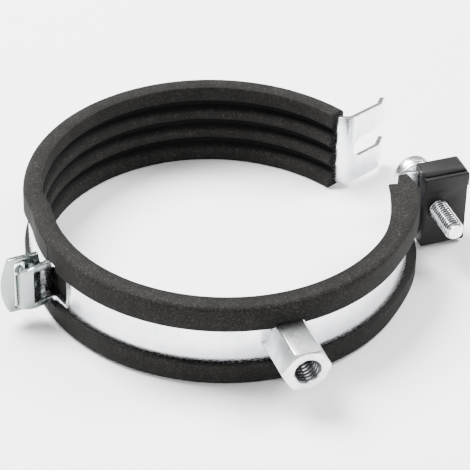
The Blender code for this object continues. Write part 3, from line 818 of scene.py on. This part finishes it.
def new_material(name):
    material = bpy.data.materials.new(name)
    material.use_nodes = True
    tree = material.node_tree
    return material, tree, tree.nodes["Principled BSDF"]


def noise(tree, scale, detail=4.0, roughness=0.55, stretch=(1.0, 1.0, 1.0)):
    place = tree.nodes.new("ShaderNodeTexCoord")
    mapping = tree.nodes.new("ShaderNodeMapping")
    mapping.inputs["Scale"].default_value = stretch
    texture = tree.nodes.new("ShaderNodeTexNoise")
    texture.inputs["Scale"].default_value = scale
    texture.inputs["Detail"].default_value = detail
    texture.inputs["Roughness"].default_value = roughness
    tree.links.new(place.outputs["Object"], mapping.inputs["Vector"])
    tree.links.new(mapping.outputs["Vector"], texture.inputs["Vector"])
    return texture.outputs["Fac"]


def ramp(tree, value, stops):
    node = tree.nodes.new("ShaderNodeValToRGB")
    elements = node.color_ramp.elements
    while len(elements) < len(stops):
        elements.new(0.5)
    for element, (position, color) in zip(elements, stops):
        element.position = position
        element.color = (*color, 1.0) if len(color) == 3 else color
    tree.links.new(value, node.inputs["Fac"])
    return node.outputs["Color"]


def remap(tree, value, low, high):
    node = tree.nodes.new("ShaderNodeMapRange")
    node.inputs["From Min"].default_value = 0.3
    node.inputs["From Max"].default_value = 0.7
    node.inputs["To Min"].default_value = low
    node.inputs["To Max"].default_value = high
    tree.links.new(value, node.inputs["Value"])
    return node.outputs["Result"]


def mix(tree, factor, a, b, blend="MIX"):
    node = tree.nodes.new("ShaderNodeMix")
    node.data_type = "RGBA"
    node.blend_type = blend
    if isinstance(factor, float):
        node.inputs["Factor"].default_value = factor
    else:
        tree.links.new(factor, node.inputs["Factor"])
    for socket, value in ((node.inputs["A"], a), (node.inputs["B"], b)):
        if isinstance(value, tuple):
            socket.default_value = (*value, 1.0)
        else:
            tree.links.new(value, socket)
    return node.outputs["Result"]


def bump(tree, shader, height, strength, distance, under=None):
    node = tree.nodes.new("ShaderNodeBump")
    node.inputs["Strength"].default_value = strength
    node.inputs["Distance"].default_value = distance
    tree.links.new(height, node.inputs["Height"])
    if under:
        tree.links.new(under, node.inputs["Normal"])
    tree.links.new(node.outputs["Normal"], shader.inputs["Normal"])
    return node.outputs["Normal"]


def paint_hinge_shade(tree):
    """Painted shade: a tint, darker towards the hinge, with a mottled edge, standing in for the
    steel's dark reflections there.
    """
    place = tree.nodes.new("ShaderNodeTexCoord")
    parts = tree.nodes.new("ShaderNodeSeparateXYZ")
    tree.links.new(place.outputs["Object"], parts.inputs["Vector"])
    blotch = noise(tree, 420.0, 3.0, 0.6)
    shift = tree.nodes.new("ShaderNodeMath")
    shift.operation = "MULTIPLY_ADD"
    shift.inputs[1].default_value = HINGE_SHADE_BLOTCH
    tree.links.new(blotch, shift.inputs[0])
    tree.links.new(parts.outputs["X"], shift.inputs[2])
    span = tree.nodes.new("ShaderNodeMapRange")
    span.inputs["From Min"].default_value = HINGE_SHADE_X - HINGE_SHADE_FADE
    span.inputs["From Max"].default_value = HINGE_SHADE_X
    tree.links.new(shift.outputs["Value"], span.inputs["Value"])
    return ramp(tree, span.outputs["Result"], [(0.0, (0.34, 0.37, 0.35)), (1.0, (1.0, 1.0, 1.0))])


def zinc_material(name, light, dark, gloss, grain=(1.0, 1.0, 1.0), hinge_shade=False):
    material, tree, shader = new_material(name)
    cloud = noise(tree, 260.0, 3.0, 0.5)
    fine = noise(tree, 2600.0, 3.0, 0.6)
    brushed = noise(tree, 900.0, 4.0, 0.6, grain)
    tone = ramp(tree, cloud, [(0.32, dark), (0.62, light)])
    speck = ramp(tree, fine, [(0.3, (0.86, 0.87, 0.88)), (0.6, (1.0, 1.0, 1.0))])
    color = mix(tree, 1.0, tone, speck, "MULTIPLY")
    # Painted shade: multiplies in the tint that darkens the steel towards the hinge
    if hinge_shade:
        color = mix(tree, 1.0, color, paint_hinge_shade(tree), "MULTIPLY")
    tree.links.new(color, shader.inputs["Base Color"])
    tree.links.new(remap(tree, brushed, gloss[0], gloss[1]), shader.inputs["Roughness"])
    shader.inputs["Metallic"].default_value = 1.0
    under = bump(tree, shader, brushed, 0.12, 0.00006)
    bump(tree, shader, cloud, 0.10, 0.0002, under)
    return material


def rubber_material():
    material, tree, shader = new_material("epdm_rubber")
    grain = noise(tree, 1700.0, 4.0, 0.75)
    wide = noise(tree, 160.0, 3.0, 0.5)
    tone = ramp(tree, wide, [(0.3, (0.0095, 0.0091, 0.0085)), (0.7, (0.014, 0.0134, 0.0126))])
    stops = [(0.36, (0.3, 0.3, 0.3)), (0.54, (0.9, 0.9, 0.9)), (0.66, (2.6, 2.6, 2.5))]
    speckled = mix(tree, 1.0, tone, ramp(tree, grain, stops), "MULTIPLY")
    # Painted shade: the rubber is darker towards the bottom of the grooves between the ribs
    depth = tree.nodes.new("ShaderNodeAttribute")
    depth.attribute_name = "groove"
    stops = [(0.0, (1.0, 1.0, 1.0)), (0.35, (0.6, 0.6, 0.6)), (0.9, (0.1, 0.1, 0.1))]
    color = mix(tree, 1.0, speckled, ramp(tree, depth.outputs["Fac"], stops), "MULTIPLY")
    tree.links.new(color, shader.inputs["Base Color"])
    tree.links.new(remap(tree, grain, 0.66, 0.88), shader.inputs["Roughness"])
    shader.inputs["Specular IOR Level"].default_value = 0.1
    bump(tree, shader, grain, 0.35, 0.0002)
    return material


def plastic_material():
    material, tree, shader = new_material("moulded_plastic")
    grain = noise(tree, 3200.0, 4.0, 0.6)
    wide = noise(tree, 220.0, 2.0, 0.5)
    color = ramp(tree, wide, [(0.3, (0.004, 0.004, 0.0038)), (0.7, (0.0065, 0.0065, 0.0062))])
    tree.links.new(color, shader.inputs["Base Color"])
    tree.links.new(remap(tree, grain, 0.5, 0.66), shader.inputs["Roughness"])
    shader.inputs["Specular IOR Level"].default_value = 0.2
    bump(tree, shader, grain, 0.25, 0.00008)
    return material


def floor_material():
    material, tree, shader = new_material("studio_floor")
    wide = noise(tree, 3.0, 2.0, 0.5)
    color = ramp(tree, wide, [(0.3, (0.86, 0.86, 0.86)), (0.7, (0.89, 0.89, 0.89))])
    tree.links.new(color, shader.inputs["Base Color"])
    shader.inputs["Roughness"].default_value = 0.9
    return material


# ---------------------------------------------------------------- assembly


def paint_root_shade(obj, material, axis_x, deepest, low_y, high_y):
    """Painted shade: puts a dark material on the faces nearer the axis than deepest, between two
    places along it.
    """
    obj.data.materials.append(material)
    index = len(obj.data.materials) - 1
    for face in obj.data.polygons:
        away = math.hypot(face.center.x - axis_x, face.center.z)
        if away < deepest and low_y < face.center.y < high_y:
            face.material_index = index


def install(obj, material, body, node, place):
    if not obj.data.materials:
        obj.data.materials.append(material)
    obj.data.transform(place)
    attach(obj, body)
    if node:
        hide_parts(node)


def build_object():
    pipe = Matrix.Translation((PIPE_X, PIPE_Y, PIPE_Z))
    pivot = Matrix.Translation((HINGE_X, HINGE_Y, 0.0))
    opened = pipe @ pivot @ Matrix.Rotation(math.radians(OPEN_ANGLE), 4, "Z") @ pivot.inverted()
    white = (0.93, 0.94, 0.97)
    gray = (0.86, 0.87, 0.88)
    strip_zinc = zinc_material(
        "strip_zinc", white, (0.78, 0.80, 0.85), (0.16, 0.32), (1, 1, 14), hinge_shade=True
    )
    nut_zinc = zinc_material("nut_zinc", gray, (0.6, 0.61, 0.62), (0.24, 0.42), (1, 9, 1))
    screw_zinc = zinc_material("screw_zinc", white, (0.75, 0.77, 0.8), (0.18, 0.34), (1, 1, 1))
    # A near-black zinc that is painted shade in the thread roots of the screw and in the rod nut's
    # bore
    root_shade_zinc = zinc_material("root_shade_zinc", (0.10, 0.10, 0.11), (0.05, 0.05, 0.055), (0.4, 0.6))
    rubber = rubber_material()
    plastic = plastic_material()
    screw, rod_nut = make_clamp_screw(), make_rod_nut()
    screw.data.materials.append(screw_zinc)
    rod_nut.data.materials.append(nut_zinc)
    # Faces nearer the axis than this get the painted shade
    root_shade_radius = SHANK_RADIUS - SCREW_DEPTH / 3
    tip_y = HEAD_Y - SHANK_LENGTH + SHANK_CHAMFER
    paint_root_shade(screw, root_shade_zinc, SCREW_X, root_shade_radius, tip_y, HEAD_Y - GAP)
    paint_root_shade(rod_nut, root_shade_zinc, 0.0, NUT_MOUTH - GAP, NUT_FACE_Y + GAP, NUT_BORE_END_Y + GAP)
    install(make_front_band(), strip_zinc, "lower_half", "lower_band", pipe)
    install(make_front_lining(), rubber, "lower_half", "lower_lining", pipe)
    install(rod_nut, nut_zinc, "lower_half", "connection_nut", pipe)
    install(make_rod_nut_weld(), nut_zinc, "lower_half", None, pipe)
    install(make_square_nut(), screw_zinc, "lower_half", "ear_nut", pipe)
    install(make_cap_shell(), plastic, "lower_half", "ear_cap", pipe)
    install(make_rear_band(), strip_zinc, "upper_half", "upper_band", opened)
    install(make_rear_lining(), rubber, "upper_half", "upper_lining", opened)
    install(make_clamp_washer(), screw_zinc, "washer", "screw_washer", pipe)
    install(screw, screw_zinc, "screw", "closing_screw", pipe)


def build_floor():
    builder = bmesh.new()
    bmesh.ops.create_grid(builder, x_segments=8, y_segments=8, size=2.5)
    floor = link("studio_floor", builder)
    floor.location = (0.0, 0.0, -0.0002)
    floor.data.materials.append(floor_material())


def area_light(name, place, aim, size, power):
    light = bpy.data.lights.new(name, "AREA")
    light.shape = "RECTANGLE"
    light.size, light.size_y = size
    light.energy = power
    obj = bpy.data.objects.new(name, light)
    bpy.context.scene.collection.objects.link(obj)
    obj.location = place
    obj.rotation_mode = "QUATERNION"
    obj.rotation_quaternion = (Vector(aim) - Vector(place)).to_track_quat("-Z", "Y")


def build_lights():
    world = bpy.data.worlds.new("studio")
    bpy.context.scene.world = world
    world.use_nodes = True
    background = world.node_tree.nodes["Background"]
    background.inputs["Color"].default_value = (1.0, 1.0, 1.0, 1.0)
    background.inputs["Strength"].default_value = 0.4
    middle = (0.0, 0.0, 0.01)
    area_light("key", (-0.35, 0.45, 0.9), middle, (0.6, 0.6), 60.0)
    area_light("fill", (0.75, 0.1, 0.8), middle, (0.4, 0.5), 22.0)
    area_light("front", (-0.3, -0.9, 0.9), middle, (0.5, 0.3), 8.0)


def build_camera():
    data = bpy.data.cameras.new("camera")
    camera = bpy.data.objects.new("camera", data)
    bpy.context.scene.collection.objects.link(camera)
    bpy.context.scene.camera = camera
    data.sensor_width = 36.0
    data.lens = VIEW_LENS
    data.clip_start, data.clip_end = 0.05, 20.0
    azimuth, elevation = math.radians(VIEW_AZIMUTH), math.radians(VIEW_ELEVATION)
    roll = math.radians(VIEW_ROLL)
    right = Vector((math.cos(azimuth), math.sin(azimuth), 0.0))
    back = Vector((math.sin(azimuth), -math.cos(azimuth), 0.0)) * math.cos(elevation)
    back.z = math.sin(elevation)
    up = back.cross(right)
    across = right * math.cos(roll) + up * math.sin(roll)
    along = up * math.cos(roll) - right * math.sin(roll)
    target = Vector((VIEW_TARGET[0] + PIPE_X, VIEW_TARGET[1] + PIPE_Y, PIPE_Z))
    turn = Matrix((across, along, back)).transposed().to_4x4()
    camera.matrix_world = Matrix.Translation(target + back * VIEW_DISTANCE) @ turn


build_object()
build_floor()
build_lights()
build_camera()
